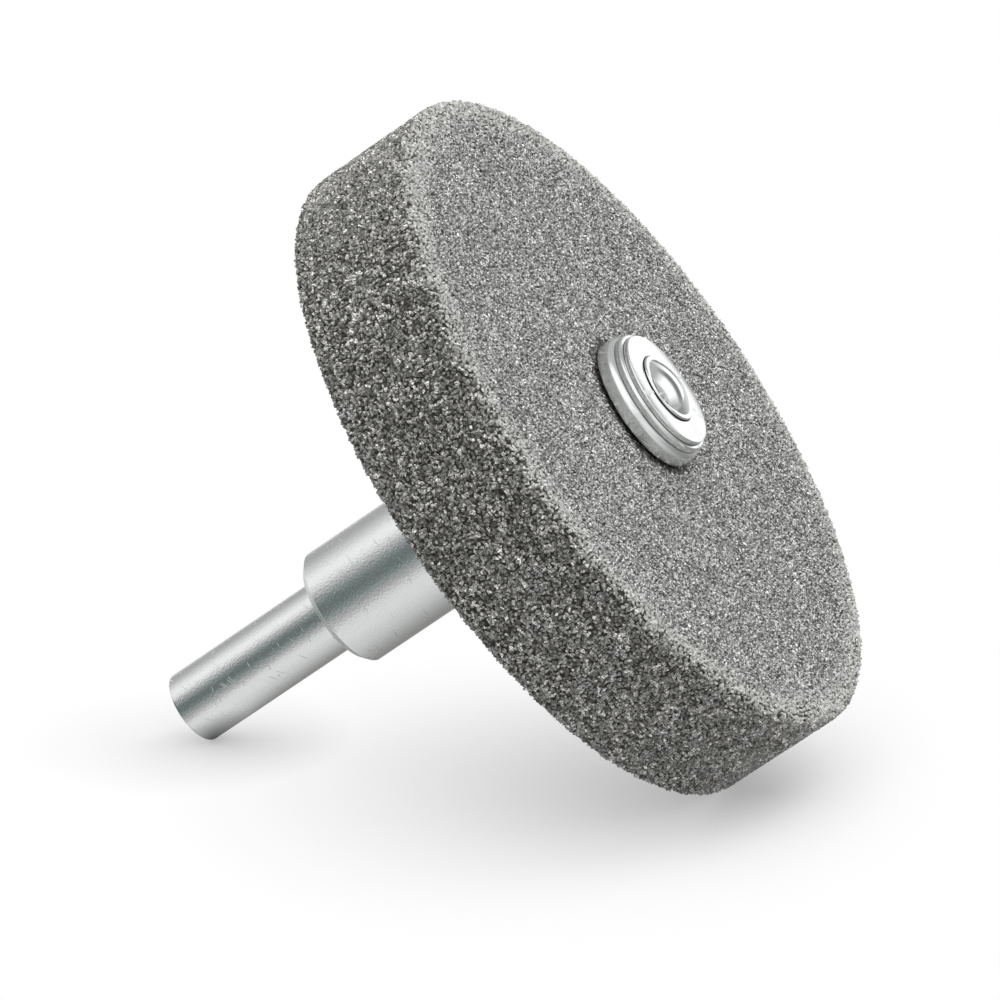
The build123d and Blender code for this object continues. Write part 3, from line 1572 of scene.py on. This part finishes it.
def studio_room():
    """Soft light from all round, brightest at the right and behind, and what steel mirrors."""
    studio = bpy.context.scene.stone_studio
    world = bpy.data.worlds.new("soft_studio_light")
    world.use_nodes = True
    tree = world.node_tree
    tree.nodes.clear()
    path = add_node(tree, "ShaderNodeLightPath")
    direction = add_node(tree, "ShaderNodeTexCoord").outputs["Generated"]

    brightest_way = (0.50, 0.58, 1.17)
    lean = add_node(
        tree,
        "ShaderNodeVectorMath",
        {0: direction, 1: brightest_way},
        operation="DOT_PRODUCT",
    )
    leaning = add_node(tree, "ShaderNodeMath", {0: lean, 1: 1.0}, operation="ADD")
    strength = add_node(
        tree, "ShaderNodeMath", {0: leaning, 1: studio.fill}, operation="MULTIPLY"
    )
    white = (*grey(1.0), 1.0)
    fill = add_node(tree, "ShaderNodeBackground", {"Color": white, "Strength": strength})
    backdrop = add_node(tree, "ShaderNodeBackground", {"Color": white, "Strength": 1.0})

    # The wheel parts what the spindle behind it mirrors from what its front mirrors.
    along_tool = add_node(
        tree,
        "ShaderNodeMapping",
        {"Vector": direction, "Rotation": tool_matrix().to_euler()},
        vector_type="TEXTURE",
    )
    axes = add_node(tree, "ShaderNodeSeparateXYZ", {"Vector": along_tool})
    in_front = add_node(
        tree,
        "ShaderNodeMapRange",
        {"Value": axes.outputs["Z"], "From Min": -0.15, "From Max": 0.1},
    )
    mirrored = add_node(
        tree,
        "ShaderNodeMix",
        {
            "Factor": in_front,
            "A": panels_behind(tree, axes),
            "B": panels_in_front(tree, direction),
        },
        data_type="RGBA",
    )
    glossy = add_node(
        tree, "ShaderNodeBackground", {"Color": mirrored, "Strength": 1.0}
    )
    lit = add_node(
        tree,
        "ShaderNodeMixShader",
        {"Fac": path.outputs["Is Glossy Ray"], 1: fill, 2: glossy},
    )
    surface = add_node(
        tree,
        "ShaderNodeMixShader",
        {"Fac": seen_directly(tree, path), 1: lit, 2: backdrop},
    )
    add_node(tree, "ShaderNodeOutputWorld", {"Surface": surface})
    return world


class SCENE_OT_studio(Operator):
    """Pale floor, soft light from all round and overhead, and the camera"""

    bl_idname = "scene.grinding_stone_studio"
    bl_label = "Studio"

    def execute(self, context):
        scene = context.scene
        studio = scene.stone_studio
        scene.view_settings.view_transform = "Standard"
        scene.world = studio_room()

        floor_width = 8.0
        clear_selection()
        bpy.ops.mesh.primitive_plane_add(size=floor_width, location=(0, 0, 0))
        floor = context.object
        floor.name = "studio_floor"
        floor.data.materials.append(paper_sweep())

        lamp = bpy.data.lights.new("overhead_softbox", "AREA")
        lamp.shape = "DISK"
        lamp.size = 0.8
        lamp.energy = studio.key
        softbox = bpy.data.objects.new("overhead_softbox", lamp)
        scene.collection.objects.link(softbox)
        # It hangs high behind the tool, at the right, and shines on the tool's middle.
        softbox.location = (0.56, 0.43, 0.97)
        tool_middle = Vector((0, 0, 0.03))
        aim = tool_middle - softbox.location
        softbox.rotation_euler = aim.to_track_quat("-Z", "Y").to_euler()
        # The lamp is kept off the steel, which would mirror it as a hard white spot.
        lit = bpy.data.collections.new("lit_by_softbox")
        for name in ("wheel_body", "rim_grit", "front_grit", "back_grit", "studio_floor"):
            lit.objects.link(bpy.data.objects[name])
        softbox.light_linking.receiver_collection = lit

        # Long lens from a little above, with the wheel's face turned towards it.
        turn_angle = math.radians(14.69)
        height_angle = math.radians(15.26)
        distance_away = 815.7 * MM
        # The wheel's face stands right of and above the middle of the picture.
        across, above = 14.46 * MM, 9.61 * MM
        lens = bpy.data.cameras.new("long_lens")
        lens.sensor_width = 36.0
        lens.lens = 288.0
        lens.clip_start = 0.01
        lens.clip_end = 50.0
        camera = bpy.data.objects.new("long_lens", lens)
        scene.collection.objects.link(camera)
        back = Vector(
            (
                math.sin(turn_angle) * math.cos(height_angle),
                -math.cos(turn_angle) * math.cos(height_angle),
                math.sin(height_angle),
            )
        )
        right = Vector((math.cos(turn_angle), math.sin(turn_angle), 0))
        up = back.cross(right)
        face = tool_matrix().to_translation()
        camera.location = face + back * distance_away - right * across - up * above
        camera.rotation_euler = (-back).to_track_quat("-Z", "Y").to_euler()
        scene.camera = camera
        return {"FINISHED"}


class MESH_OT_stone_finishes(Operator):
    """Makes the materials of the wheel and of the steel"""

    bl_idname = "mesh.stone_finishes"
    bl_label = "Finishes"

    def execute(self, context):
        abrasive_grain()
        fired_bond()
        zinc_plated_steel()
        return {"FINISHED"}


class VIEW3D_PT_grinding_stone(Panel):
    """Lists the settings and the building steps"""

    bl_label = "Grinding stone"
    bl_idname = "VIEW3D_PT_grinding_stone"
    bl_space_type = "VIEW_3D"
    bl_region_type = "UI"
    bl_category = "Grinding stone"

    def draw(self, context):
        layout = self.layout
        for settings in (
            context.scene.grinding_stone,
            context.scene.turned_steel,
            context.scene.stone_studio,
        ):
            box = layout.box()
            for name in settings.__annotations__:
                box.prop(settings, name)
        for step in (
            MESH_OT_stone_finishes,
            MESH_OT_wheel_body,
            MESH_OT_wheel_grit,
            MESH_OT_turned_spindle,
            MESH_OT_front_washers,
            SCENE_OT_studio,
        ):
            layout.operator(step.bl_idname)


classes = (
    StoneSettings,
    SteelSettings,
    StudioSettings,
    MESH_OT_stone_finishes,
    MESH_OT_wheel_body,
    MESH_OT_wheel_grit,
    MESH_OT_turned_spindle,
    MESH_OT_front_washers,
    SCENE_OT_studio,
    VIEW3D_PT_grinding_stone,
)


def register():
    for item in classes:
        bpy.utils.register_class(item)
    bpy.types.Scene.grinding_stone = PointerProperty(type=StoneSettings)
    bpy.types.Scene.turned_steel = PointerProperty(type=SteelSettings)
    bpy.types.Scene.stone_studio = PointerProperty(type=StudioSettings)


def unregister():
    del bpy.types.Scene.stone_studio
    del bpy.types.Scene.turned_steel
    del bpy.types.Scene.grinding_stone
    for item in reversed(classes):
        bpy.utils.unregister_class(item)


def main():
    register()
    bpy.ops.mesh.stone_finishes()
    bpy.ops.mesh.wheel_body()
    bpy.ops.mesh.wheel_grit()
    bpy.ops.mesh.turned_spindle()
    bpy.ops.mesh.front_washers()
    bpy.ops.scene.grinding_stone_studio()


if __name__ == "__main__":
    main()
